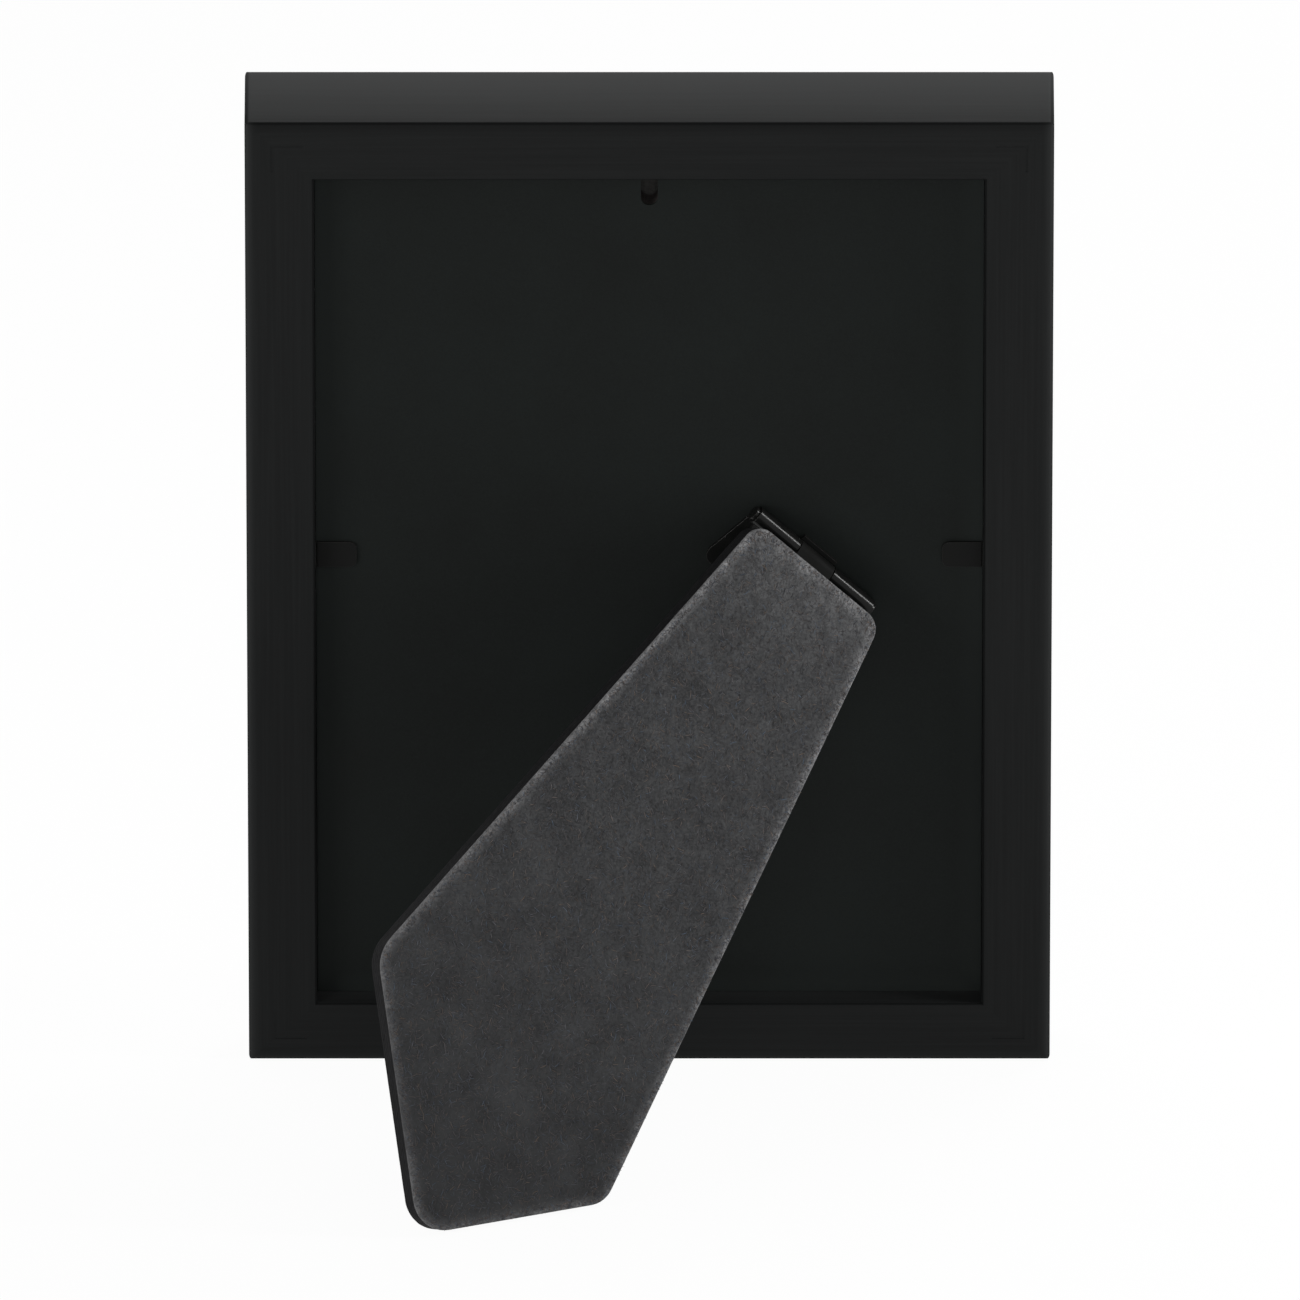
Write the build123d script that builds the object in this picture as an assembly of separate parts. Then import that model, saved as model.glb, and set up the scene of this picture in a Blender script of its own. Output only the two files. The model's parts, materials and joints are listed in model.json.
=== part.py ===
from build123d import *
import os
from math import cos, radians, sin, tan

# Easel back photo frame for a 4 x 6 inch photo, standing upright on its hinged leg.
# Millimetres and degrees. Left and right are as seen from the front.
# The pieces are built with the back of the rails at Y = 0, the frame's centre on the Y axis and the frame
# upright along Z, and are then leaned back onto the leg with the table at Z = 0.

# Photo and frame moulding
photo_width = 101.6
photo_height = 152.4
photo_play = 1.9  # how much wider and taller the rebate is than the photo
rail_width = 10.65  # at the back, from the outside to the rebate
lip_overlap = 5.0  # how far the front lip covers the glass
lip_thickness = 4.5
front_round = 1.0
sight_round = 0.8
back_round = 0.5
corner_round = 0.8

# Corner fasteners
nail_inset = 4.0  # from the outside of both rails to the bend
nail_leg = 5.0
nail_thickness = 0.4
nail_depth = 8.0
nail_sink = 0.05  # driven below the back of the rails

# Layers in the rebate, from the front lip to the back
glass_thickness = 2.0
insert_thickness = 0.25
filler_thickness = 1.75
panel_thickness = 2.9
paper_thickness = 0.3
recess = 3.3  # from the back of the rails to the panel
glass_play = 1.4  # rebate size minus glass size
panel_play = 0.7  # rebate size minus panel size
notch_width = 2.6  # hanging notch in the panel's top edge
notch_depth = 6.6

# Retaining tabs
tab_above_centre = 5.5
tab_width = 4.6
tab_length = 6.0  # free part
tab_thickness = 0.4
tab_tip_round = 1.2
tab_lift = 0.05  # above the panel
tab_root_gap = 0.15  # between the rebate wall and the bent root
prong_length = 6.0
prong_gap = 0.05  # between the prong's end and the bent root

# How the frame stands
lean = 16.2  # backwards, when standing upright
side_lean = 17.2  # backwards, when standing on its right side
opening = 41.0  # between the leg and the back panel, at the stop

# Hinge
hinge_off_centre = 25.2  # towards the left rail
hinge_above_centre = 5.2
hinge_slant = 45.0  # below horizontal
knuckle_wall = 0.7
knuckle_lift = 0.15  # of the knuckles above the panel
pin_radius = 0.75
pin_seat_clearance = 0.01
pin_running_clearance = 0.05
pin_head_overhang = 0.4
pin_head_length = 0.5
pin_head_gap = 0.05
side_knuckle_length = 8.6
middle_knuckle_length = 7.0
knuckle_gap = 0.2
leaf_thickness = 0.6
leaf_length = 12.0
leaf_corner = 2.0
leaf_gap = 0.4  # between a leaf and the other leaf's knuckles
heel_length = 2.0  # stop heel, past the pin
heel_gap = 0.05  # above the panel at the stop

# Rivets
rivet_radius = 1.0
rivet_head_radius = 2.0
rivet_head_height = 0.6
rivet_head_round = 0.3
rivet_flare_radius = 1.7
rivet_flare_depth = 0.7
rivet_sink = 0.05  # of the flared end below its surface
rivet_clearance = 0.03
rivet_from_end = 4.5  # of the leaf
rivet_spacing = 15.0

# Leg
leg_margin = 1.1  # of the leg's top edge past each end of the hinge
leg_flare = 8.5  # of each long edge
leg_pin_gap = 0.55  # between the knuckles and the leg's top edge
core_thickness = 2.9
felt_thickness = 0.6
liner_thickness = 0.3
liner_inset = 1.2
top_corner = 3.2
shoulder_corner = 6.0
tip_corner = 5.5
foot_corner = 4.5

# Derived sizes
rebate_width = photo_width + photo_play
rebate_height = photo_height + photo_play
frame_width = rebate_width + 2 * rail_width
frame_height = rebate_height + 2 * rail_width
layers = glass_thickness + insert_thickness + filler_thickness + panel_thickness + paper_thickness
rebate_depth = layers + recess
frame_depth = rebate_depth + lip_thickness
knuckle_radius = pin_radius + pin_running_clearance + knuckle_wall
pin_height = knuckle_radius + knuckle_lift  # above the panel
hinge_length = 2 * (side_knuckle_length + knuckle_gap) + middle_knuckle_length
leg_top_width = hinge_length + 2 * leg_margin
leg_start = knuckle_radius + leg_pin_gap  # from the pin to the leg's top edge
core_level = knuckle_radius + liner_thickness  # from the pin to the core's inner face
felt_level = core_level + core_thickness

# Directions: along the hinge line, down the folded leg, out of the back, down the open leg, out of the open leg
back = Vector(0, 1, 0)
hinge_axis = Vector(-cos(radians(hinge_slant)), 0, -sin(radians(hinge_slant)))
down_panel = Vector(sin(radians(hinge_slant)), 0, -cos(radians(hinge_slant)))
down_leg = down_panel * cos(radians(opening)) + back * sin(radians(opening))
out_of_leg = back * cos(radians(opening)) - down_panel * sin(radians(opening))

# On the panel, X runs down the folded leg, Y along the hinge and Z out of the back, from the panel's surface.
# On the leg, X runs down the leg, Y along the hinge and Z out of the leg, from the pin's centre line.
hinge_foot = Vector(-hinge_off_centre, -recess, hinge_above_centre)
pin_centre = hinge_foot + back * pin_height
on_panel = Plane(hinge_foot, x_dir=down_panel, z_dir=back).location
on_leg = Plane(pin_centre, x_dir=down_leg, z_dir=out_of_leg).location


def rounded(face, rounds):
    """Face with its corners rounded: rounds gives each corner's place and radius."""
    for corner, radius in rounds.items():
        vertex = min(face.vertices(), key=lambda v: (v.X - corner[0]) ** 2 + (v.Y - corner[1]) ** 2)
        face = fillet(vertex, radius)
    return face


# Rails

def moulding(outside):
    """Section of a rail in Y and Z, with its outer face at Z = outside and the window above it."""
    inside = outside + rail_width
    sight = inside + lip_overlap
    corners = [(0, outside), (0, inside), (-rebate_depth, inside), (-rebate_depth, sight),
               (-frame_depth, sight), (-frame_depth, outside)]
    rounds = {corners[0]: back_round, corners[1]: back_round, corners[4]: sight_round, corners[5]: front_round}
    return Plane.YZ * rounded(make_face(Polyline(*corners, close=True)), rounds)


def rail(length, across):
    """Bottom rail of a frame that is length wide and across high."""
    reach = rail_width + lip_overlap
    outside = -across / 2
    bar = extrude(moulding(outside), amount=length / 2, both=True)
    mitred = Polyline((-length / 2, outside), (length / 2, outside), (length / 2 - reach, outside + reach),
                      (-length / 2 + reach, outside + reach), close=True)
    bar &= extrude(Plane.XZ * make_face(mitred), amount=frame_depth)
    return bar & extrude(Plane.XZ * RectangleRounded(length, across, corner_round), amount=frame_depth)


def turned(shape, angle):
    return Rot(0, angle, 0) * shape


# Corner fasteners

def corner_nail(side_x, side_z, head):
    """Bent strip across the mitre of one corner, with its head this deep below the back of the rails."""
    bend = (frame_width / 2 - nail_inset, frame_height / 2 - nail_inset)
    strip = Polyline(bend, (bend[0] - nail_leg, bend[1]), (bend[0] - nail_leg, bend[1] - nail_thickness),
                     (bend[0] - nail_thickness, bend[1] - nail_thickness),
                     (bend[0] - nail_thickness, bend[1] - nail_leg), (bend[0], bend[1] - nail_leg), close=True)
    nail = extrude(Plane.XZ.offset(head) * make_face(strip), amount=nail_depth + nail_sink - head)
    if side_x < 0:
        nail = mirror(nail, Plane.YZ)
    if side_z < 0:
        nail = mirror(nail, Plane.XY)
    return nail


# Sheets in the rebate

def sheet(width, height, depth, thickness):
    """Flat sheet with its back face this deep below the back of the rails."""
    return extrude(Plane.XZ.offset(depth) * Rectangle(width, height), amount=thickness)


def hanging_notch():
    """Round-ended slot through the panel's top edge."""
    top = (rebate_height - panel_play) / 2
    radius = notch_width / 2
    slot = Pos(0, top - notch_depth + radius) * Circle(radius)
    slot += Pos(0, top - (notch_depth - radius) / 2) * Rectangle(notch_width, notch_depth - radius)
    return extrude(Plane.XZ.offset(recess) * slot, amount=paper_thickness + panel_thickness)


# Hinge

def hinge_bar(radius, length, middle=0.0):
    """Round bar along the hinge line."""
    return Pos(0, middle, 0) * Rot(90, 0, 0) * Cylinder(radius, length)


def leaf_plate():
    """Leaf lying on Z = 0, from the pin's centre line down."""
    plate = Box(leaf_length, hinge_length, leaf_thickness, align=(Align.MIN, Align.CENTER, Align.MIN))
    ends = plate.edges().filter_by(Axis.Z).group_by(Axis.X)[-1]
    return fillet(ends, leaf_corner)


def rivet_places():
    return [Pos(leaf_length - rivet_from_end, side * rivet_spacing / 2, 0) for side in (-1, 1)]


def rivet_shank(grip, clearance):
    """Shank below Z = 0 with its flared end in the far side of the grip."""
    end = rivet_sink - grip
    shank = Cylinder(rivet_radius + clearance, -end, align=(Align.CENTER, Align.CENTER, Align.MIN))
    shank += Cone(rivet_flare_radius + clearance, rivet_radius + clearance, rivet_flare_depth,
                  align=(Align.CENTER, Align.CENTER, Align.MIN))
    return Pos(0, 0, end) * shank


def rivet(grip):
    """Rivet whose head stands on Z = 0."""
    head = Cylinder(rivet_head_radius, rivet_head_height, align=(Align.CENTER, Align.CENTER, Align.MIN))
    return fillet(head.edges().group_by(Axis.Z)[-1], rivet_head_round) + rivet_shank(grip, 0)


def rivet_hole(grip):
    mouth = Cylinder(rivet_flare_radius + rivet_clearance, rivet_sink, align=(Align.CENTER, Align.CENTER, Align.MIN))
    return rivet_shank(grip, rivet_clearance) + Pos(0, 0, -grip) * mouth


def panel_leaf():
    past_middle = 2 * (knuckle_radius + leaf_gap)
    leaf = leaf_plate() - Box(past_middle, middle_knuckle_length + 2 * knuckle_gap, 2 * leaf_thickness)
    for side in (-1, 1):
        middle = side * (hinge_length - side_knuckle_length) / 2
        leaf += Pos(0, 0, pin_height) * hinge_bar(knuckle_radius, side_knuckle_length, middle)
    return leaf - Pos(0, 0, pin_height) * hinge_bar(pin_radius + pin_seat_clearance, hinge_length)


def leg_leaf():
    """Moving leaf, on the leg's axes, with the heel that meets the panel at the stop."""
    leaf = Pos(0, 0, knuckle_radius - leaf_thickness) * leaf_plate()
    for side in (-1, 1):
        middle = side * (middle_knuckle_length + hinge_length) / 4
        room = Box(2 * (knuckle_radius + leaf_gap), (hinge_length - middle_knuckle_length) / 2, 2 * knuckle_radius)
        leaf -= Pos(0, middle, knuckle_radius) * room
    heel = Box(heel_length, middle_knuckle_length, leaf_thickness, align=(Align.MAX, Align.CENTER, Align.MIN))
    heel = Rot(0, opening, 0) * Pos(0, 0, heel_gap - pin_height) * heel
    leaf += heel + hinge_bar(knuckle_radius, middle_knuckle_length)
    return leaf - hinge_bar(pin_radius + pin_running_clearance, middle_knuckle_length)


def hinge_pin():
    pin = hinge_bar(pin_radius, hinge_length + 2 * pin_head_gap)
    for side in (-1, 1):
        middle = side * (hinge_length / 2 + pin_head_gap + pin_head_length / 2)
        pin += hinge_bar(pin_radius + pin_head_overhang, pin_head_length, middle)
    return pin


# Leg

def foot_line(away, side_distance, angle):
    """Where the core's inner face meets the table, as (x, y, constant), when the frame stands on the side that is
    side_distance from the hinge, away being the direction from that side into the frame."""
    up = away * cos(radians(angle)) - back * sin(radians(angle))
    table = back_round * (cos(radians(angle)) + sin(radians(angle)) - 1)
    pin_level = side_distance * cos(radians(angle)) - (pin_height - recess) * sin(radians(angle))
    return down_leg.dot(up), hinge_axis.dot(up), pin_level + core_level * out_of_leg.dot(up) - table


def long_edge(side):
    slope = tan(radians(leg_flare))
    return -slope, side, slope * leg_start - leg_top_width / 2


def meeting(first, second):
    across = first[0] * second[1] - second[0] * first[1]
    return ((first[1] * second[2] - second[1] * first[2]) / across,
            (first[2] * second[0] - second[2] * first[0]) / across)


def leg_outline():
    """Flared strip with a pointed foot: one foot edge for standing upright, the other for standing sideways."""
    upright_foot = foot_line(Vector(0, 0, 1), frame_height / 2 + hinge_above_centre, lean)
    sideways_foot = foot_line(Vector(-1, 0, 0), frame_width / 2 + hinge_off_centre, side_lean)
    rounds = {(leg_start, -leg_top_width / 2): top_corner, (leg_start, leg_top_width / 2): top_corner,
              meeting(long_edge(1), upright_foot): foot_corner, meeting(upright_foot, sideways_foot): tip_corner,
              meeting(sideways_foot, long_edge(-1)): shoulder_corner}
    return rounded(make_face(Polyline(*rounds, close=True)), rounds)


# Retaining tabs, drawn at the left rail and mirrored for the right one

tab_level = tab_lift + tab_thickness / 2 - recess
tab_root = -rebate_width / 2 + tab_root_gap + tab_thickness / 2


def tab_prong():
    end = tab_root - tab_thickness / 2 - prong_gap
    length = prong_length + end + rebate_width / 2
    return Pos(end - length / 2, tab_level, tab_above_centre) * Box(length, tab_thickness, tab_width)


def flex_tab():
    """Free part of the tab, with a round root on the line that it bends about."""
    blade = Box(tab_length, tab_thickness, tab_width, align=(Align.MIN, Align.CENTER, Align.CENTER))
    blade = fillet(blade.edges().filter_by(Axis.Y).group_by(Axis.X)[-1], tab_tip_round)
    return Pos(tab_root, tab_level, tab_above_centre) * (blade + Cylinder(tab_thickness / 2, tab_width))


# Assembly

def build_nodes():
    nodes = {"bottom_rail": rail(frame_width, frame_height), "left_rail": turned(rail(frame_height, frame_width), 90)}
    nodes["top_rail"] = turned(nodes["bottom_rail"], 180)
    nodes["right_rail"] = turned(nodes["left_rail"], 180)
    nodes["left_tab_prong"] = tab_prong()
    nodes["right_tab_prong"] = mirror(tab_prong(), Plane.YZ)
    corners = [(x, z) for x in (-1, 1) for z in (-1, 1)]
    nodes["corner_v_nails"] = Compound([corner_nail(x, z, nail_sink) for x, z in corners])
    for name in ("bottom_rail", "left_rail", "top_rail", "right_rail"):
        for x, z in corners:
            nodes[name] -= corner_nail(x, z, 0)
    for side in ("left", "right"):
        nodes[side + "_rail"] -= nodes[side + "_tab_prong"]

    panel_size = (rebate_width - panel_play, rebate_height - panel_play)
    glass_size = (rebate_width - glass_play, rebate_height - glass_play)
    filler_depth = recess + paper_thickness + panel_thickness
    insert_depth = filler_depth + filler_thickness
    nodes["glass_pane"] = sheet(*glass_size, insert_depth + insert_thickness, glass_thickness)
    nodes["photo_insert"] = sheet(photo_width, photo_height, insert_depth, insert_thickness)
    nodes["filler_card"] = sheet(*panel_size, filler_depth, filler_thickness)
    nodes["back_panel"] = sheet(*panel_size, recess + paper_thickness, panel_thickness) - hanging_notch()
    nodes["back_panel_paper"] = sheet(*panel_size, recess, paper_thickness) - hanging_notch()

    panel_grip = leaf_thickness + paper_thickness + panel_thickness
    at_panel_rivets = [on_panel * Pos(0, 0, leaf_thickness) * place for place in rivet_places()]
    nodes["panel_rivets"] = Compound([place * rivet(panel_grip) for place in at_panel_rivets])
    nodes["hinge_panel_leaf"] = on_panel * panel_leaf()
    nodes["hinge_pin"] = on_panel * Pos(0, 0, pin_height) * hinge_pin()
    for name in ("hinge_panel_leaf", "back_panel_paper", "back_panel"):
        for place in at_panel_rivets:
            nodes[name] -= place * rivet_hole(panel_grip)

    outline = leg_outline()
    leg_grip = leaf_thickness + liner_thickness + core_thickness
    at_leg_rivets = [on_leg * Pos(0, 0, knuckle_radius - leaf_thickness) * Rot(180, 0, 0) * place
                     for place in rivet_places()]
    nodes["leg_rivets"] = Compound([place * rivet(leg_grip) for place in at_leg_rivets])
    nodes["hinge_leg_leaf"] = on_leg * leg_leaf()
    nodes["leg_liner"] = on_leg * Pos(0, 0, knuckle_radius) * extrude(offset(outline, -liner_inset), liner_thickness)
    nodes["leg_core"] = on_leg * Pos(0, 0, core_level) * extrude(outline, core_thickness)
    nodes["leg_felt"] = on_leg * Pos(0, 0, felt_level) * extrude(outline, felt_thickness)
    for name in ("hinge_leg_leaf", "leg_liner", "leg_core"):
        for place in at_leg_rivets:
            nodes[name] -= place * rivet_hole(leg_grip)

    nodes["left_flex_tab"] = flex_tab()
    nodes["right_flex_tab"] = mirror(flex_tab(), Plane.YZ)
    return nodes


# Lean the frame back onto its leg, with the middle of its footprint at the origin and the table at Z = 0
nodes = build_nodes()
leaned = Rot(-lean, 0, 0)
bounds = Compound([leaned * shape for shape in nodes.values()]).bounding_box()
standing = Pos(-bounds.center().X, -bounds.center().Y, -bounds.min.Z) * leaned

os.makedirs("parts", exist_ok=True)
for name, shape in nodes.items():
    export_step(standing * shape, "parts/" + name + ".step")
print(len(nodes), "nodes, size", bounds.size)
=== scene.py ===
import json
import math

import bmesh
import bpy
import numpy as np
from mathutils import Matrix, Vector, noise
from mathutils.geometry import delaunay_2d_cdt


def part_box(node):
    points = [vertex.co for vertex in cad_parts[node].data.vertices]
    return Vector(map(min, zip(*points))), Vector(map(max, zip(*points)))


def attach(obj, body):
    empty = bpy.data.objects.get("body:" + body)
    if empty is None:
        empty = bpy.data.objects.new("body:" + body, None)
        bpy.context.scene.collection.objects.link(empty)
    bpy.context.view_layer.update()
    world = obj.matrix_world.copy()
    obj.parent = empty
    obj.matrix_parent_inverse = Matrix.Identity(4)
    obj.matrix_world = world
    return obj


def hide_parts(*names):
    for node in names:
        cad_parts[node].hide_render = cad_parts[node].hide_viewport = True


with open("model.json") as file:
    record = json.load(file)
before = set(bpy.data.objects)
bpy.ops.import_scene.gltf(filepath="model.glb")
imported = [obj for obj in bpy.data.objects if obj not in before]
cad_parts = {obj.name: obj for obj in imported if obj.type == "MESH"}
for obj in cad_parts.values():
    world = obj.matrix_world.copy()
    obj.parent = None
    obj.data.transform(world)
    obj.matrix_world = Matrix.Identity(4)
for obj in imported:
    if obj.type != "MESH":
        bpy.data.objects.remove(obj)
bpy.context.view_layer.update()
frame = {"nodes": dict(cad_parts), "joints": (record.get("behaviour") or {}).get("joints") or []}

# Easel back photo frame seen from behind: black moulding, papered back panel, flocked leg on a slanted hinge
nodes = frame["nodes"]
joints = {joint["name"]: joint for joint in frame["joints"]}
mm = 0.001

# Axes of the leaning frame (across, out of the back, up) and of the open leg (down, along the hinge, out)
frameAcross = Vector((1, 0, 0))
frameUp = Vector(joints["left_tab_bend"]["axis"]).normalized()
frameAxes = Matrix((frameAcross, frameUp.cross(frameAcross), frameUp)).transposed()
legOut = max(nodes["leg_felt"].data.polygons, key=lambda face: face.area).normal.copy()
if legOut.y < 0:
    legOut.negate()
legAlong = Vector(joints["leg_fold"]["axis"]).normalized()
legAxes = Matrix((legAlong.cross(legOut), legAlong, legOut)).transposed()
legPin = Vector(joints["leg_fold"]["pos_m"])
frameTurn = frameAxes.to_euler()
legTurn = legAxes.to_euler()
print("frame loaded:", len(nodes), "nodes")


def linear(hexColour):
    channels = [int(hexColour[i:i + 2], 16) / 255 for i in (1, 3, 5)]
    return [c / 12.92 if c <= 0.04045 else ((c + 0.055) / 1.055) ** 2.4 for c in channels] + [1.0]


def plug(tree, node, inputs):  # a socket is linked, anything else is set as the socket's own value
    for name, value in inputs.items():
        if isinstance(value, bpy.types.NodeSocket):
            tree.links.new(value, node.inputs[name])
        else:
            node.inputs[name].default_value = value
    return node


def addNode(tree, kind, inputs=None, **settings):
    node = tree.nodes.new("ShaderNode" + kind)
    for name, value in settings.items():
        setattr(node, name, value)
    return plug(tree, node, inputs or {})


def startMaterial(name):
    material = bpy.data.materials.new(name)
    material.use_nodes = True
    tree = material.node_tree
    return material, tree, tree.nodes["Principled BSDF"]


def finishWith(material, *names):  # give CAD nodes this finish
    for name in names:
        for slot in nodes[name].material_slots:
            slot.material = material


def addPiece(name, mesh, body, slot, *replaced):
    piece = bpy.data.objects.new(name, mesh)
    bpy.context.scene.collection.objects.link(piece)
    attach(piece, body)
    if replaced:
        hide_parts(*replaced)
    return piece


def frameSpots(node):  # a CAD node's points on the leaning frame's axes
    return [frameAxes.transposed() @ vert.co for vert in nodes[node].data.vertices]


def fromSidesAndFoot(tree, place, side, foot):  # the place on the frame's axes, and how far in it lies
    inFrame = addNode(tree, "Mapping", {"Vector": place, "Rotation": frameTurn}, vector_type="TEXTURE")
    inFrame = addNode(tree, "SeparateXYZ", {0: inFrame.outputs[0]})
    fromSide = addNode(tree, "Math", {0: inFrame.outputs["X"]}, operation="ABSOLUTE")
    fromSide = addNode(tree, "Math", {0: side, 1: fromSide.outputs[0]}, operation="SUBTRACT")
    fromFoot = addNode(tree, "Math", {0: inFrame.outputs["Z"], 1: foot}, operation="SUBTRACT")
    nearest = addNode(tree, "Math", {0: fromSide.outputs[0], 1: fromFoot.outputs[0]}, operation="MINIMUM")
    return inFrame, nearest.outputs[0]


# Satin black lacquer sprayed over planed wood: soft deep black, with the planed fibres showing through as
# fine streaks along each rail and a thin duller line where it drew back from sharp edges; painted shade
# darkens those edges and a band on the back just below the top, painted sheen pales the back along the
# sides and the foot, and a painted highlight pales the top towards its front
lacquer = {
    "black": "#161717",
    "streak": "#1a1b1b",
    # painted shade: the dark line on sharp edges and the dark band on the back below the top
    "edge": "#0c0d0d",
    # painted sheen: the pale band on the back along the sides and the foot
    "wornAndPaintedLight": "#2c2d2d",
    # painted highlight: the top face paler towards its front
    "paintedHighlight": "#363737",
    "paintedSheenWide": 2.2 * mm,
    "paintedSheenFade": 3.0,
    "paintedShadeWide": 2.2 * mm,
    "paintedShadeShare": 0.85,
    "streakLong": 38 * mm,
    "streakWide": 0.45 * mm,
    "streakTone": (0.40, 0.66),  # of the noise, from plain black to a full streak
    "streakRelief": 3.0,  # against the orange peel
    "peel": 0.7 * mm,  # orange peel left by the spray gun
    "relief": 0.004 * mm,
    "square": (0.995, 0.85),  # how square on a flat face and a sharp edge lie to the frame
    "edgeDull": 0.35,
    "roughness": (0.56, 0.60),
    "ior": 1.48,
    "specular": 0.07,
}
railSpots = frameSpots("bottom_rail")
railBack = max(spot.y for spot in railSpots)
railFront = min(spot.y for spot in railSpots)
railFoot = min(spot.z for spot in railSpots)
railSide = max(spot.x for spot in railSpots)
railTop = max(spot.z for spot in frameSpots("top_rail"))


def satinLacquer(name, streakSize):
    material, tree, shader = startMaterial(name)
    spot = addNode(tree, "TexCoord")
    place = spot.outputs["Object"]
    grain = addNode(tree, "Mapping", {"Vector": place, "Rotation": frameTurn, "Scale": streakSize},
                    vector_type="TEXTURE")
    streaks = addNode(tree, "TexNoise", {"Vector": grain.outputs[0], "Scale": 1.0, "Detail": 5.0,
                                         "Roughness": 0.65})
    peel = addNode(tree, "TexNoise", {"Vector": place, "Scale": 1 / lacquer["peel"], "Detail": 2.0})
    facing = addNode(tree, "Mapping", {"Vector": spot.outputs["Normal"], "Rotation": frameTurn},
                     vector_type="TEXTURE")
    facing = addNode(tree, "VectorMath", {0: facing.outputs[0]}, operation="ABSOLUTE")
    facing = addNode(tree, "SeparateXYZ", {0: facing.outputs[0]})
    flat = addNode(tree, "Math", {0: facing.outputs["X"], 1: facing.outputs["Y"]}, operation="MAXIMUM")
    flat = addNode(tree, "Math", {0: flat.outputs[0], 1: facing.outputs["Z"]}, operation="MAXIMUM")
    flatFace, sharpEdge = lacquer["square"]
    arris = addNode(tree, "MapRange", {"Value": flat.outputs[0], "From Min": flatFace,
                                       "From Max": sharpEdge})
    inFrame, fromEdge = fromSidesAndFoot(tree, place, railSide, railFoot)
    fromTop = addNode(tree, "Math", {0: railTop, 1: inFrame.outputs["Z"]}, operation="SUBTRACT")
    # painted shade: a dark band on the back just below the top, and a dark line on every sharp edge
    paintedEdgeShade = addNode(tree, "MapRange", {"Value": fromTop.outputs[0], "From Min": lacquer["paintedShadeWide"],
                                       "From Max": 0.0, "To Max": lacquer["paintedShadeShare"]})
    paintedEdgeShade = addNode(tree, "Math", {0: paintedEdgeShade.outputs[0], 1: facing.outputs["Y"]}, operation="MULTIPLY")
    paintedEdgeShade = addNode(tree, "Math", {0: paintedEdgeShade.outputs[0], 1: arris.outputs[0]}, operation="MAXIMUM")
    # painted sheen: the back paler along its sides and foot, where rounded edges would catch the light
    paintedSideSheen = addNode(tree, "MapRange", {"Value": fromEdge, "From Min": lacquer["paintedSheenWide"], "From Max": 0.0})
    paintedSideSheen = addNode(tree, "Math", {0: paintedSideSheen.outputs[0], 1: lacquer["paintedSheenFade"]}, operation="POWER")
    paintedSideSheen = addNode(tree, "Math", {0: paintedSideSheen.outputs[0], 1: facing.outputs["Y"]}, operation="MULTIPLY")
    # painted highlight: the top face grows paler from its back edge to its front edge
    paintedTopHighlight = addNode(tree, "MapRange", {"Value": inFrame.outputs["Y"], "From Min": railBack,
                                      "From Max": railFront})
    paintedTopHighlight = addNode(tree, "Math", {0: paintedTopHighlight.outputs[0], 1: facing.outputs["Z"]}, operation="MULTIPLY")
    plain, full = lacquer["streakTone"]
    share = addNode(tree, "MapRange", {"Value": streaks.outputs["Fac"], "From Min": plain, "From Max": full})
    colour = addNode(tree, "Mix", {0: share.outputs[0], 6: linear(lacquer["black"]),
                                   7: linear(lacquer["streak"])}, data_type="RGBA")
    colour = addNode(tree, "Mix", {0: paintedEdgeShade.outputs[0], 6: colour.outputs[2], 7: linear(lacquer["edge"])},
                     data_type="RGBA")
    colour = addNode(tree, "Mix", {0: paintedSideSheen.outputs[0], 6: colour.outputs[2], 7: linear(lacquer["wornAndPaintedLight"])},
                     data_type="RGBA")
    colour = addNode(tree, "Mix", {0: paintedTopHighlight.outputs[0], 6: colour.outputs[2], 7: linear(lacquer["paintedHighlight"])},
                     data_type="RGBA")
    low, high = lacquer["roughness"]
    matt = addNode(tree, "MapRange", {"Value": streaks.outputs["Fac"], "From Min": 0.3, "From Max": 0.7,
                                      "To Min": high, "To Max": low})
    matt = addNode(tree, "Math", {0: arris.outputs[0], 1: lacquer["edgeDull"], 2: matt.outputs[0]},
                   operation="MULTIPLY_ADD")
    relief = addNode(tree, "Math", {0: streaks.outputs["Fac"], 1: lacquer["streakRelief"],
                                    2: peel.outputs["Fac"]}, operation="MULTIPLY_ADD")
    bump = addNode(tree, "Bump", {"Strength": 0.3, "Distance": lacquer["relief"],
                                  "Height": relief.outputs[0]})
    plug(tree, shader, {"Base Color": colour.outputs[2], "Roughness": matt.outputs[0],
                        "Normal": bump.outputs[0], "IOR": lacquer["ior"],
                        "Specular IOR Level": lacquer["specular"]})
    return material


streakLong, streakWide = lacquer["streakLong"], lacquer["streakWide"]
finishWith(satinLacquer("satinLacquerAcross", (streakLong, streakWide, streakWide)), "top_rail",
           "bottom_rail")
finishWith(satinLacquer("satinLacquerUpright", (streakWide, streakWide, streakLong)), "left_rail",
           "right_rail", "corner_v_nails")
print("moulding lacquered")

# Uncoated black paper rolled and glued onto board: dull even black, faintly cloudy from the glue, with a
# grain that shows close up, and painted light paling it along the panel's sides and foot to fill the
# recess's shade
paper = {
    "dark": "#141615",
    "light": "#1a1d1c",
    # painted light: paler along the panel's sides and foot, filling in the recess's shade
    "paintedRimLight": "#1f2221",
    "paintedRimWide": 4 * mm,
    "paintedRimFade": 1.3,
    "overhang": 0.25 * mm,
    "cloud": 22 * mm,
    "fibre": 0.35 * mm,
    "relief": 0.02 * mm,
    "roughness": (0.66, 0.82),
    "ior": 1.45,
    "specular": 0.08,
}


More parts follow.
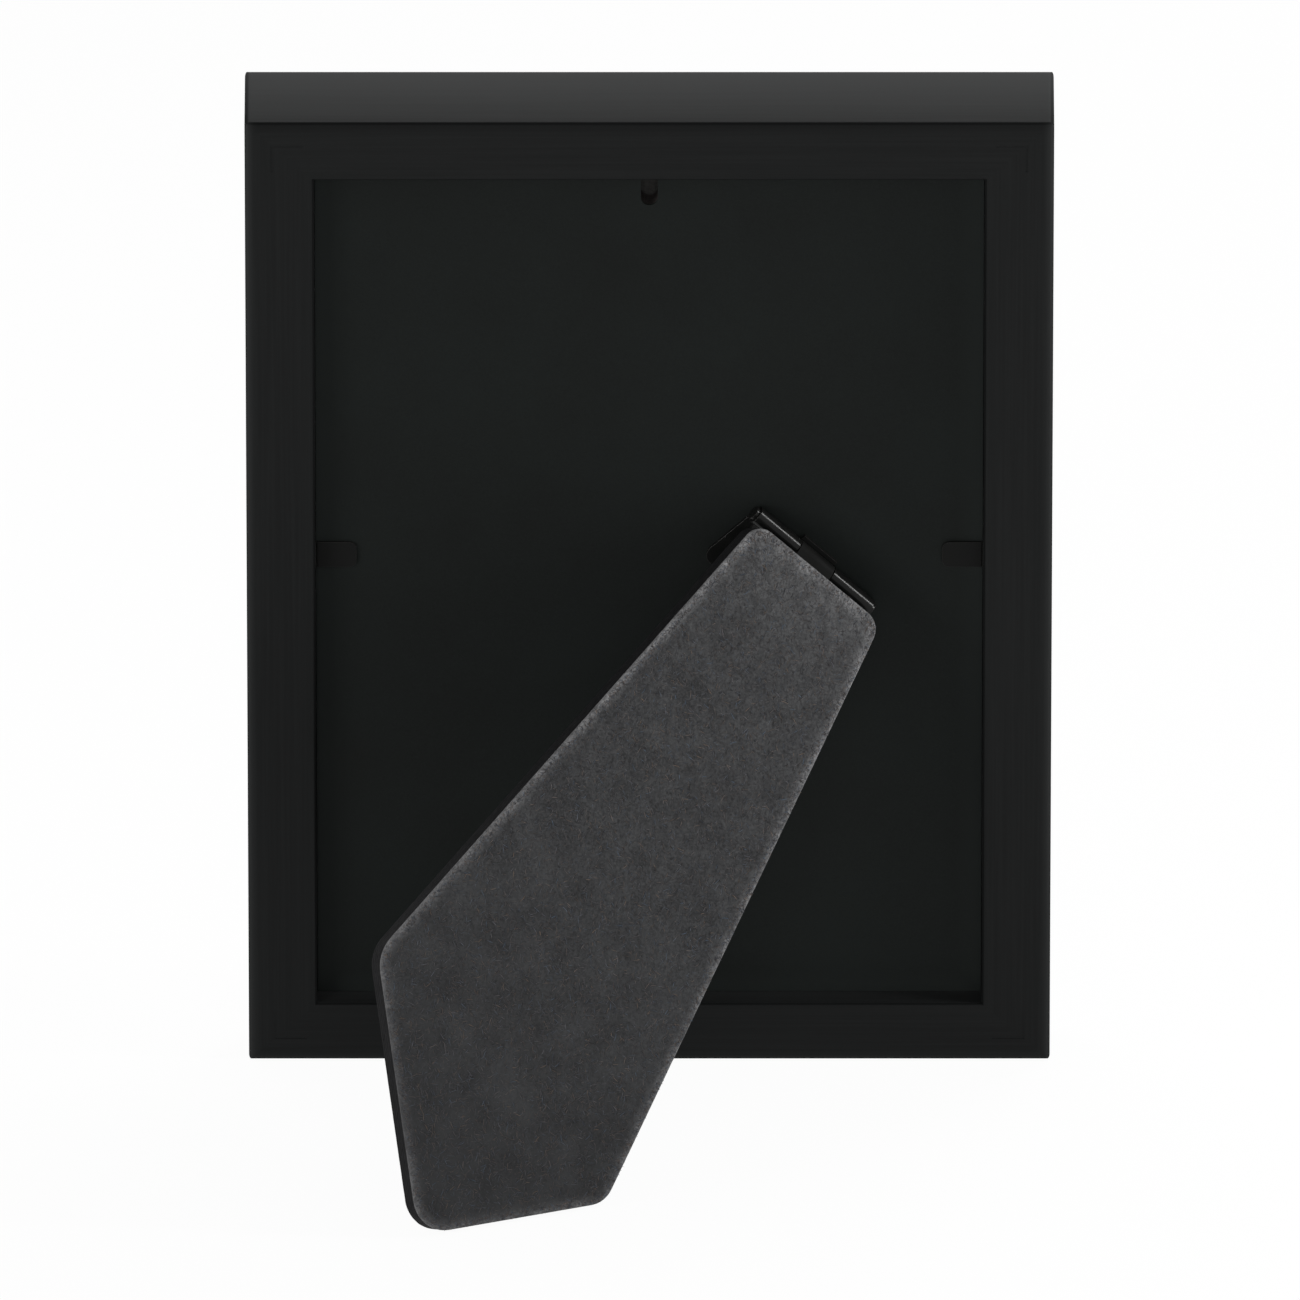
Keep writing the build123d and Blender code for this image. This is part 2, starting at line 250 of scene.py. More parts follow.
def liningPaper(name, sheet=None):  # a sheet is given where painted light pales the sides and foot
    material, tree, shader = startMaterial(name)
    place = addNode(tree, "TexCoord").outputs["Object"]
    cloud = addNode(tree, "TexNoise", {"Vector": place, "Scale": 1 / paper["cloud"], "Detail": 3.0})
    fibre = addNode(tree, "TexNoise", {"Vector": place, "Scale": 1 / paper["fibre"], "Detail": 4.0,
                                       "Roughness": 0.7, "Distortion": 0.6})
    tone = addNode(tree, "Math", {0: cloud.outputs["Fac"], 1: fibre.outputs["Fac"]}, operation="ADD")
    share = addNode(tree, "MapRange", {"Value": tone.outputs[0], "From Min": 0.75, "From Max": 1.25})
    colour = addNode(tree, "Mix", {0: share.outputs[0], 6: linear(paper["dark"]), 7: linear(paper["light"])},
                     data_type="RGBA")
    if sheet:
        spots = frameSpots(sheet)
        side = max(spot.x for spot in spots)
        foot = min(spot.z for spot in spots)
        fromEdge = fromSidesAndFoot(tree, place, side, foot)[1]
        # painted light: the paper paler towards the panel's sides and foot, filling in the shade of the
        # recess
        paintedRimLight = addNode(tree, "MapRange", {"Value": fromEdge, "From Min": paper["paintedRimWide"],
                                             "From Max": 0.0})
        paintedRimLight = addNode(tree, "Math", {0: paintedRimLight.outputs[0], 1: paper["paintedRimFade"]}, operation="POWER")
        colour = addNode(tree, "Mix", {0: paintedRimLight.outputs[0], 6: colour.outputs[2],
                                       7: linear(paper["paintedRimLight"])}, data_type="RGBA")
    low, high = paper["roughness"]
    matt = addNode(tree, "MapRange", {"Value": cloud.outputs["Fac"], "From Min": 0.3, "From Max": 0.7,
                                      "To Min": low, "To Max": high})
    bump = addNode(tree, "Bump", {"Strength": 0.4, "Distance": paper["relief"],
                                  "Height": fibre.outputs["Fac"]})
    plug(tree, shader, {"Base Color": colour.outputs[2], "Roughness": matt.outputs[0],
                        "Normal": bump.outputs[0], "IOR": paper["ior"],
                        "Specular IOR Level": paper["specular"]})
    return material


def buildLining(material):  # cut a little larger than the panel, so that it hides most of the gap round it
    mesh = nodes["back_panel_paper"].data.copy()
    low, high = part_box("back_panel_paper")
    middle = (low + high) / 2
    flat = [frameAxes.transposed() @ (vert.co - middle) for vert in mesh.vertices]
    growX = 1 + paper["overhang"] / max(spot.x for spot in flat)
    growZ = 1 + paper["overhang"] / max(spot.z for spot in flat)
    for vert, spot in zip(mesh.vertices, flat):
        vert.co = middle + frameAxes @ Vector((spot.x * growX, spot.y, spot.z * growZ))
    mesh.materials.clear()
    mesh.materials.append(material)
    addPiece("liningSheet", mesh, "frame", "black_paper", "back_panel_paper")


finishWith(liningPaper("blackLegPaper"), "leg_liner")
buildLining(liningPaper("blackLiningPaper", "back_panel_paper"))

# Stamped steel blackened in a hot bath and oiled: near black with a low lustre, a little browner and
# duller in patches, rubbed bright along its sheared edges
blackSteel = {
    "black": "#0f1010",
    "brown": "#171716",
    "wornAndPaintedLight": "#4a4846",
    "patch": 2.4 * mm,
    "pit": 0.25 * mm,
    "arris": 0.12 * mm,
    "oiled": {"roughness": (0.14, 0.24), "specular": 0.13},
    "dull": {"roughness": (0.55, 0.70), "specular": 0.06},  # left dry from the bath
}


def blackenedSteel(name, finish):
    material, tree, shader = startMaterial(name)
    place = addNode(tree, "TexCoord").outputs["Object"]
    patch = addNode(tree, "TexNoise", {"Vector": place, "Scale": 1 / blackSteel["patch"], "Detail": 4.0})
    pit = addNode(tree, "TexNoise", {"Vector": place, "Scale": 1 / blackSteel["pit"], "Detail": 3.0})
    soft = addNode(tree, "Bevel", {"Radius": blackSteel["arris"]}, samples=6)
    surface = addNode(tree, "NewGeometry")
    flat = addNode(tree, "VectorMath", {0: soft.outputs[0], 1: surface.outputs["Normal"]},
                   operation="DOT_PRODUCT")
    arris = addNode(tree, "MapRange", {"Value": flat.outputs["Value"], "From Min": 0.99, "From Max": 0.75})
    wornAndPaintedLight = addNode(tree, "Math", {0: arris.outputs[0], 1: pit.outputs["Fac"]}, operation="MULTIPLY")
    colour = addNode(tree, "Mix", {0: patch.outputs["Fac"], 6: linear(blackSteel["black"]),
                                   7: linear(blackSteel["brown"])}, data_type="RGBA")
    colour = addNode(tree, "Mix", {0: wornAndPaintedLight.outputs[0], 6: colour.outputs[2],
                                   7: linear(blackSteel["wornAndPaintedLight"])}, data_type="RGBA")
    low, high = finish["roughness"]
    dull = addNode(tree, "MapRange", {"Value": patch.outputs["Fac"], "From Min": 0.3, "From Max": 0.7,
                                      "To Min": low, "To Max": high})
    bump = addNode(tree, "Bump", {"Strength": 0.35, "Distance": 0.01 * mm, "Height": pit.outputs["Fac"],
                                  "Normal": soft.outputs[0]})
    plug(tree, shader, {"Base Color": colour.outputs[2], "Roughness": dull.outputs[0],
                        "Normal": bump.outputs[0], "Specular IOR Level": finish["specular"]})
    return material


finishWith(blackenedSteel("oiledBlackSteel", blackSteel["oiled"]), "hinge_panel_leaf", "hinge_pin",
           "panel_rivets", "leg_rivets")
finishWith(blackenedSteel("dullBlackSteel", blackSteel["dull"]), "hinge_leg_leaf", "left_tab_prong",
           "right_tab_prong", "left_flex_tab", "right_flex_tab")
print("paper and steel done")

# Pressed fibre boards, dyed black for the panel and pulped grey for the filler: matt, with short fibres
boards = {
    "hardboard": {"node": "back_panel", "dark": "#232020", "light": "#3a3634", "fibre": 0.6 * mm},
    "greyCard": {"node": "filler_card", "dark": "#2c2b2a", "light": "#444341", "fibre": 0.8 * mm},
}


def pressedBoard(name, board):
    material, tree, shader = startMaterial(name)
    place = addNode(tree, "TexCoord").outputs["Object"]
    fibre = addNode(tree, "TexNoise", {"Vector": place, "Scale": 1 / board["fibre"], "Detail": 6.0,
                                       "Roughness": 0.75, "Distortion": 1.2})
    share = addNode(tree, "MapRange", {"Value": fibre.outputs["Fac"], "From Min": 0.35, "From Max": 0.68})
    colour = addNode(tree, "Mix", {0: share.outputs[0], 6: linear(board["dark"]), 7: linear(board["light"])},
                     data_type="RGBA")
    bump = addNode(tree, "Bump", {"Strength": 0.5, "Distance": 0.03 * mm, "Height": fibre.outputs["Fac"]})
    plug(tree, shader, {"Base Color": colour.outputs[2], "Roughness": 0.85, "Normal": bump.outputs[0],
                        "IOR": 1.45, "Specular IOR Level": 0.2})
    return material


for boardName, board in boards.items():
    finishWith(pressedBoard(boardName, board), board["node"])

# Float glass, 2 mm, cut and seamed: clear with a trace of green, mirroring a little of the room
glass = {"tint": "#f8fbf9", "ior": 1.52, "roughness": 0.0}


def floatGlass():
    material, tree, shader = startMaterial("floatGlass")
    plug(tree, shader, {"Base Color": linear(glass["tint"]), "IOR": glass["ior"],
                        "Roughness": glass["roughness"], "Transmission Weight": 1.0})
    clear = addNode(tree, "BsdfTransparent", {"Color": linear(glass["tint"])})
    path = addNode(tree, "LightPath")
    lit = addNode(tree, "MixShader", {0: path.outputs["Is Shadow Ray"], 1: shader.outputs[0],
                                      2: clear.outputs[0]})
    plug(tree, tree.nodes["Material Output"], {"Surface": lit.outputs[0]})  # lamps reach the sheet behind it
    return material


finishWith(floatGlass(), "glass_pane")

# Plain display insert, matt printing paper: warm white with one thin printed keyline round a pale grey field
insert = {
    "white": "#e6e4de",
    "field": "#cfcfcc",
    "line": "#8f908e",
    "margin": 11 * mm,
    "lineWidth": 0.5 * mm,
    "fibre": 0.5 * mm,
    "airGap": 0.05 * mm,
}


def insertPaper():
    material, tree, shader = startMaterial("mattInsertPaper")
    low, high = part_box("photo_insert")
    half = Vector((high.x - low.x, 0, (high.z - low.z) / frameUp.z)) / 2
    place = addNode(tree, "TexCoord").outputs["Object"]
    flat = addNode(tree, "Mapping", {"Vector": place, "Location": (low + high) / 2, "Rotation": frameTurn},
                   vector_type="TEXTURE")
    away = addNode(tree, "VectorMath", {0: flat.outputs[0]}, operation="ABSOLUTE")
    split = addNode(tree, "SeparateXYZ", {0: away.outputs[0]})
    fromSide = addNode(tree, "Math", {0: half.x, 1: split.outputs["X"]}, operation="SUBTRACT")
    fromEnd = addNode(tree, "Math", {0: half.z, 1: split.outputs["Z"]}, operation="SUBTRACT")
    inside = addNode(tree, "Math", {0: fromSide.outputs[0], 1: fromEnd.outputs[0]}, operation="MINIMUM")
    field = addNode(tree, "Math", {0: inside.outputs[0], 1: insert["margin"]}, operation="GREATER_THAN")
    line = addNode(tree, "Math", {0: inside.outputs[0], 1: insert["margin"], 2: insert["lineWidth"]},
                   operation="COMPARE")
    fibre = addNode(tree, "TexNoise", {"Vector": place, "Scale": 1 / insert["fibre"], "Detail": 4.0})
    colour = addNode(tree, "Mix", {0: field.outputs[0], 6: linear(insert["white"]),
                                   7: linear(insert["field"])}, data_type="RGBA")
    colour = addNode(tree, "Mix", {0: line.outputs[0], 6: colour.outputs[2], 7: linear(insert["line"])},
                     data_type="RGBA")
    bump = addNode(tree, "Bump", {"Strength": 0.3, "Distance": 0.02 * mm, "Height": fibre.outputs["Fac"]})
    plug(tree, shader, {"Base Color": colour.outputs[2], "Roughness": 0.7, "Normal": bump.outputs[0],
                        "IOR": 1.45})
    return material


finishWith(insertPaper(), "photo_insert")
joined = nodes["photo_insert"].modifiers.new("joinedFaces", "WELD")
joined.merge_threshold = 0.001 * mm
apart = nodes["photo_insert"].modifiers.new("airGap", "DISPLACE")  # two faces in one place would flicker
apart.strength = -insert["airGap"]
apart.mid_level = 0.0
print("boards, glass and insert done")


# Leg plates are drawn on the leg's own axes: x down the leg, y along the hinge, z out of the leg
def plateRim(node):
    plate = bmesh.new()
    plate.from_mesh(nodes[node].data)
    bmesh.ops.remove_doubles(plate, verts=plate.verts, dist=0.001 * mm)
    outer = {face for face in plate.faces if face.normal.dot(legOut) > 0.99}
    rim = [edge for edge in plate.edges if len(outer.intersection(edge.link_faces)) == 1]
    beside = {}
    for edge in rim:
        first, second = edge.verts
        beside.setdefault(first, []).append(second)
        beside.setdefault(second, []).append(first)
    foot = max(beside, key=lambda vert: (vert.co - legPin).length)  # on the outline, not on a rivet hole
    walk = [foot, beside[foot][0]]
    while walk[-1] is not foot:
        walk.append(next(vert for vert in beside[walk[-1]] if vert is not walk[-2]))
    walk.pop()
    toLeg = legAxes.transposed()
    corners = np.array([(toLeg @ (vert.co - legPin))[:2] for vert in walk])
    heights = [(toLeg @ (vert.co - legPin)).z for vert in plate.verts]
    plate.free()
    x, y = corners.T
    if np.sum(x * np.roll(y, -1) - y * np.roll(x, -1)) < 0:
        corners = corners[::-1]  # anticlockwise
    return corners, min(heights), max(heights)


def evenRim(corners, step):  # points at even steps along the outline, with their inward directions
    runs = np.linalg.norm(np.roll(corners, -1, 0) - corners, axis=1)
    along = np.concatenate(([0], np.cumsum(runs)))
    closed = np.vstack((corners, corners[:1]))
    count = int(along[-1] / step)
    stops = np.arange(count) * along[-1] / count
    points = np.column_stack([np.interp(stops, along, closed[:, i]) for i in (0, 1)])
    ahead = np.roll(points, -2, 0) - np.roll(points, 2, 0)
    inward = np.column_stack((-ahead[:, 1], ahead[:, 0]))
    return points, inward / np.linalg.norm(inward, axis=1)[:, None]


def insideBy(corners, points):  # how far each point lies inside the rounded, convex outline
    ahead = np.roll(corners, -1, 0) - corners
    inward = np.column_stack((-ahead[:, 1], ahead[:, 0])) / np.linalg.norm(ahead, axis=1)[:, None]
    depth = np.full(len(points), np.inf)
    for corner, normal in zip(corners, inward):
        depth = np.minimum(depth, (points - corner) @ normal)
    return depth


def onLeg(x, y, z):
    return legPin + legAxes @ Vector((x, y, z))


def legPiece(name, verts, faces, material, slot, *replaced):
    mesh = bpy.data.meshes.new(name)
    mesh.from_pydata(verts, [], faces)
    mesh.validate()
    mesh.materials.append(material)
    return addPiece(name, mesh, "leg", slot, *replaced)


def skirt(first, second, count):  # quads between two loops of the same number of points
    return [(first + i, first + (i + 1) % count, second + (i + 1) % count, second + i) for i in range(count)]


# Leg core: black dyed board pressed from plies and die cut, so its edge shows thin layers and ragged grooves
legBoard = {
    "plies": 5,
    "groove": 0.10 * mm,
    "grooveHigh": 0.09 * mm,
    "ragged": 0.05 * mm,
    "raggedLong": 1.1 * mm,
    "step": 0.5 * mm,
    "dark": "#0d0d0e",
    "light": "#1d1d1e",
    "layer": (1.5 * mm, 1.5 * mm, 0.2 * mm),
    "fibre": 0.4 * mm,
}


def boardMaterial():
    material, tree, shader = startMaterial("dieCutPlyBoard")
    place = addNode(tree, "TexCoord").outputs["Object"]
    plySpace = addNode(tree, "Mapping", {"Vector": place, "Rotation": legTurn, "Scale": legBoard["layer"]},
                       vector_type="TEXTURE")
    layer = addNode(tree, "TexNoise", {"Vector": plySpace.outputs[0], "Scale": 1.0, "Detail": 3.0})
    fibre = addNode(tree, "TexNoise", {"Vector": place, "Scale": 1 / legBoard["fibre"], "Detail": 5.0,
                                       "Distortion": 0.8})
    tone = addNode(tree, "Math", {0: layer.outputs["Fac"], 1: fibre.outputs["Fac"]}, operation="ADD")
    share = addNode(tree, "MapRange", {"Value": tone.outputs[0], "From Min": 0.8, "From Max": 1.3})
    colour = addNode(tree, "Mix", {0: share.outputs[0], 6: linear(legBoard["dark"]),
                                   7: linear(legBoard["light"])}, data_type="RGBA")
    bump = addNode(tree, "Bump", {"Strength": 0.6, "Distance": 0.03 * mm, "Height": tone.outputs[0]})
    plug(tree, shader, {"Base Color": colour.outputs[2], "Roughness": 0.8, "Normal": bump.outputs[0],
                        "IOR": 1.45, "Specular IOR Level": 0.12})
    return material


def buildBoard():
    corners, low, high = plateRim("leg_core")
    rim, inward = evenRim(corners, legBoard["step"])
    count = len(rim)
    ply = (high - low) / legBoard["plies"]
    levels = []
    for i in range(legBoard["plies"]):
        start = low + i * ply
        stop = start + ply
        if i > 0:
            levels.append((start + legBoard["grooveHigh"] / 2, 0.0, i))
        else:
            levels.append((start, legBoard["groove"] / 2, i))
            levels.append((start + legBoard["grooveHigh"], 0.0, i))
        if i < legBoard["plies"] - 1:
            levels.append((stop - legBoard["grooveHigh"] / 2, 0.0, i))
            levels.append((stop, legBoard["groove"], i))
        else:
            levels.append((stop, 0.0, i))
    verts = []
    faces = []
    for level, (height, inset, seed) in enumerate(levels):
        for i in range(count):
            spot = Vector((*rim[i], seed * 0.02)) / legBoard["raggedLong"]
            rough = legBoard["ragged"] * (0.5 + 0.5 * noise.noise(spot))
            verts.append(onLeg(*(rim[i] + inward[i] * (inset + rough)), height))
        if level:
            faces += skirt((level - 1) * count, level * count, count)
    faces.append(tuple(reversed(range(count))))
    faces.append(tuple(range((len(levels) - 1) * count, len(levels) * count)))
    return legPiece("legBoard", verts, faces, boardMaterial(), "leg_board", "leg_core")


buildBoard()
print("leg board built")

# Flock: short charcoal nylon blown onto glue, so the leg looks soft and slightly mottled, with paler fibre
# ends catching the light, a pale nap along the die-cut edge that is partly painted sheen and darkens towards
# the foot as painted shade, painted light paling the leg towards its top, and the foot worn smoother
flock = {
    "gridStep": 0.5 * mm,
    "edgeRound": 0.42 * mm,
    "edgeTurns": (25, 50, 72, 90),  # degrees round the edge
    "tuft": 0.9 * mm,
    "tuftHigh": 0.06 * mm,
    "dark": "#212122",
    "mid": "#3a3b3c",
    "pale": "#8a8a8b",
    "speck": 0.42 * mm,
    "mottle": 6 * mm,
    "mottleShare": 0.4,
    "relief": 0.08 * mm,
    # pale nap along the edge, partly real and partly painted sheen
    "napAndSheenEdge": 1.5 * mm,
    "napPatch": 2.2 * mm,  # the edge is brushed up in patches
    "paintedLightReach": 6 * mm,  # painted light: how far down the leg the paler top reaches
    "paintedTopLight": (0.3, 0.15),  # painted light, at the top edge, and fading all down the leg
    "paintedShadeToFoot": 0.4,  # painted shade: share of the pale edge that darkens towards the foot
    "thumbAt": (108 * mm, -12 * mm),  # where a thumb pulls the leg open and wears the edge
    "thumb": 18 * mm,
    "thumbWorn": 0.65,
    "worn": (55 * mm, 115 * mm),  # down the leg, between full nap and the smoothest foot
    "wornShare": 0.65,
    "roughness": 0.92,
    "sheen": 0.35,
    "sheenTint": "#a9a7a8",
}
fibres = {
    "groups": {  # drawn a few times as thick as flock, so that single fibres and small bundles show
        "fine": {"count": 11000, "long": (0.3 * mm, 0.9 * mm), "thick": (0.022 * mm, 0.045 * mm)},
        "bundle": {"count": 4500, "long": (0.6 * mm, 1.3 * mm), "thick": (0.035 * mm, 0.06 * mm)},
    },
    "edge": {"count": 4500, "long": (0.25 * mm, 0.6 * mm), "thick": (0.025 * mm, 0.055 * mm)},
    "lift": (-0.03 * mm, 0.06 * mm),
    "bend": 0.4,  # sideways, of a fibre's length
    "tip": 0.45,  # thickness of its ends
    "clear": 0.2 * mm,  # between a fibre on the face and the leg's outline
    "edgeStep": 0.2 * mm,
    "edgeIn": (0.45, 1.3),  # mm from the outline to the root of an edge fibre
    "edgeSpread": 1.2,  # radians either way of straight out
    "dark": "#353435",
    "warm": "#7b695a",
    "cool": "#556678",
    "paleFade": 1.4,
    "wornPale": 0.38,  # one even tone at the worn foot
    "seed": 11,
}


def wornNap(tree):  # 0 where the nap stands, rising down the leg to the worn foot
    place = addNode(tree, "TexCoord").outputs["Object"]
    onPlate = addNode(tree, "Mapping", {"Vector": place, "Location": legPin, "Rotation": legTurn},
                      vector_type="TEXTURE")
    onPlate = addNode(tree, "SeparateXYZ", {0: onPlate.outputs[0]})
    start, end = flock["worn"]
    return addNode(tree, "MapRange", {"Value": onPlate.outputs["X"], "From Min": start, "From Max": end,
                                      "To Max": flock["wornShare"]}).outputs[0]


def flockMaterial():
    material, tree, shader = startMaterial("charcoalFlock")
    place = addNode(tree, "TexCoord").outputs["Object"]
    speck = addNode(tree, "TexNoise", {"Vector": place, "Scale": 1 / flock["speck"], "Detail": 4.0,
                                       "Roughness": 0.7, "Distortion": 0.8})
    mottle = addNode(tree, "TexNoise", {"Vector": place, "Scale": 1 / flock["mottle"], "Detail": 4.0})
    standing = addNode(tree, "Mix", {0: wornNap(tree), 2: speck.outputs["Fac"], 3: 0.5}, data_type="FLOAT")
    # pale nap and painted light: the edge nap, partly painted sheen, and painted light paling the leg
    # towards its top
    napAndPaintedLight = addNode(tree, "Attribute", attribute_name="napAndPaintedLight")
    clump = addNode(tree, "MapRange", {"Value": speck.outputs["Fac"], "From Min": 0.3, "From Max": 0.7,
                                       "To Min": 0.15, "To Max": 1.0})
    patch = addNode(tree, "TexNoise", {"Vector": place, "Scale": 1 / flock["napPatch"], "Detail": 3.0})
    patch = addNode(tree, "MapRange", {"Value": patch.outputs["Fac"], "From Min": 0.38, "From Max": 0.62,
                                       "To Min": 0.65, "To Max": 1.25})
    ragged = addNode(tree, "Math", {0: napAndPaintedLight.outputs["Fac"], 1: clump.outputs[0]}, operation="MULTIPLY")
    ragged = addNode(tree, "Math", {0: ragged.outputs[0], 1: patch.outputs[0]}, operation="MULTIPLY")
    tone = addNode(tree, "Math", {0: mottle.outputs["Fac"], 1: flock["mottleShare"], 2: standing.outputs[0]},
                   operation="MULTIPLY_ADD")
    share = addNode(tree, "MapRange", {"Value": tone.outputs[0], "From Min": 0.55, "From Max": 0.85})
    colour = addNode(tree, "Mix", {0: share.outputs[0], 6: linear(flock["dark"]), 7: linear(flock["mid"])},
                     data_type="RGBA")
    colour = addNode(tree, "Mix", {0: ragged.outputs[0], 6: colour.outputs[2], 7: linear(flock["pale"])},
                     data_type="RGBA")
    bump = addNode(tree, "Bump", {"Strength": 0.8, "Distance": flock["relief"],
                                  "Height": standing.outputs[0]})
    plug(tree, shader, {"Base Color": colour.outputs[2], "Roughness": flock["roughness"],
                        "Normal": bump.outputs[0], "IOR": 1.45, "Specular IOR Level": 0.1,
                        "Sheen Weight": flock["sheen"], "Sheen Roughness": 0.5,
                        "Sheen Tint": linear(flock["sheenTint"])})
    return material


def fibreMaterial():
    material, tree, shader = startMaterial("flockFibre")
    surface = addNode(tree, "NewGeometry")
    chance = surface.outputs["Random Per Island"]
    share = addNode(tree, "Math", {0: chance, 1: fibres["paleFade"]}, operation="POWER")
    share = addNode(tree, "Mix", {0: wornNap(tree), 2: share.outputs[0], 3: fibres["wornPale"]},
                    data_type="FLOAT")
    tint = addNode(tree, "Math", {0: chance, 1: 977.0}, operation="MULTIPLY")  # large, for a second chance
    tint = addNode(tree, "Math", {0: tint.outputs[0]}, operation="FRACT")
    pale = addNode(tree, "Mix", {0: tint.outputs[0], 6: linear(fibres["warm"]), 7: linear(fibres["cool"])},
                   data_type="RGBA")
    colour = addNode(tree, "Mix", {0: share.outputs[0], 6: linear(fibres["dark"]), 7: pale.outputs[2]},
                     data_type="RGBA")
    plug(tree, shader, {"Base Color": colour.outputs[2], "Roughness": 0.7, "IOR": 1.53,
                        "Specular IOR Level": 0.25})
    return material


def paleEdgeShare(x, y, down):  # share of the pale edge nap, partly painted sheen, with painted shade fading it towards the foot and wear where a thumb opens the leg
    thumbX, thumbY = flock["thumbAt"]
    away = math.hypot(x - thumbX, y - thumbY) / flock["thumb"]
    return (1.0 - flock["paintedShadeToFoot"] * down) * (1.0 - flock["thumbWorn"] * math.exp(-away ** 2))


def tuftHeight(x, y):
    spot = Vector((x, y, 0)) / flock["tuft"]
    return flock["tuftHigh"] * (noise.noise(spot) + 0.6 * noise.noise(spot * 2.3) - 1.0)


def buildFlock():
    corners, low, high = plateRim("leg_felt")
    rim, inward = evenRim(corners, flock["gridStep"])
    count = len(rim)
    radius = flock["edgeRound"]
    top, foot = corners[:, 0].min(), corners[:, 0].max()
    verts, faces, napAndPaintedLight = [], [], []
    loops = [(0.0, low), (0.0, high - radius)]
    for degrees in flock["edgeTurns"]:
        turn = math.radians(degrees)
        loops.append((radius * (1 - math.cos(turn)), high - radius * (1 - math.sin(turn))))
    for level, (inset, height) in enumerate(loops):
        for point, into in zip(rim, inward):
            x, y = point + into * inset
            drop = tuftHeight(x, y) * min(1.0, max(0.0, (height - high + radius) / radius))
            verts.append(onLeg(x, y, height + drop))
            napAndPaintedLight.append(paleEdgeShare(x, y, (x - top) / (foot - top)))
        if level:
            faces += skirt((level - 1) * count, level * count, count)
    faces.append(tuple(reversed(range(count))))
    ring = rim + inward * radius
    step = flock["gridStep"]
    row = step * math.sqrt(3) / 2
    lowX, lowY = corners.min(0)
    highX, highY = corners.max(0)
    grid = [(lowX + (i + 0.5 * (j % 2)) * step, lowY + j * row)
            for j in range(int((highY - lowY) / row) + 1) for i in range(int((highX - lowX) / step) + 1)]
    grid = np.array(grid)
    depth = insideBy(corners, grid)
    grid = grid[depth > radius + 0.5 * step]
    flat = [Vector(p) for p in np.vstack((ring, grid))]
    ringEdges = [(i, (i + 1) % count) for i in range(count)]
    points, _, triangles, origins = delaunay_2d_cdt(flat, ringEdges, [], 1, 1e-9)[:4]
    depths = insideBy(corners, np.array([tuple(p) for p in points]))
    start = len(verts) - count
    # painted light paling the leg towards its top, strongest at the top edge
    paintedLightAtTop, paintedLightDownLeg = flock["paintedTopLight"]
    index = {}
    for i, (point, origin) in enumerate(zip(points, origins)):
        if origin and origin[0] < count:
            index[i] = start + origin[0]
        else:
            index[i] = len(verts)
            verts.append(onLeg(point.x, point.y, high + tuftHeight(point.x, point.y)))
            down = (point.x - top) / (foot - top)
            # pale edge nap, partly painted sheen, darkened towards the foot as painted shade
            edge = math.exp(-2 * (depths[i] / flock["napAndSheenEdge"]) ** 2) * paleEdgeShare(point.x, point.y, down)
            wornAndPaintedLight = paintedLightAtTop * math.exp((top - point.x) / flock["paintedLightReach"]) + paintedLightDownLeg * (1.0 - down)
            napAndPaintedLight.append(min(1.0, edge + wornAndPaintedLight))
    faces += [tuple(index[i] for i in triangle) for triangle in triangles]
    piece = legPiece("legFlock", verts, faces, flockMaterial(), "flocked_felt", "leg_felt")
    attribute = piece.data.attributes.new("napAndPaintedLight", "FLOAT", "POINT")
    attribute.data.foreach_set("value", napAndPaintedLight)
    for face in piece.data.polygons:
        face.use_smooth = True
    return corners, high


def addFibre(verts, faces, path, thick):
    start = len(verts)
    for i, point in enumerate(path):
        ahead = (path[min(i + 1, len(path) - 1)] - path[max(i - 1, 0)]).normalized()
        side = ahead.cross(legOut).normalized()
        up = side.cross(ahead)
        radius = thick * (fibres["tip"] if i in (0, len(path) - 1) else 1.0)
        for k in range(3):
            turn = math.radians(90 + 120 * k)
            verts.append(point + (side * math.cos(turn) + up * math.sin(turn)) * radius)
        if i:
            ring = start + 3 * i
            faces += [(ring - 3 + k, ring - 3 + (k + 1) % 3, ring + (k + 1) % 3, ring + k) for k in range(3)]
    faces.append((start + 2, start + 1, start))
    faces.append((len(verts) - 3, len(verts) - 2, len(verts) - 1))


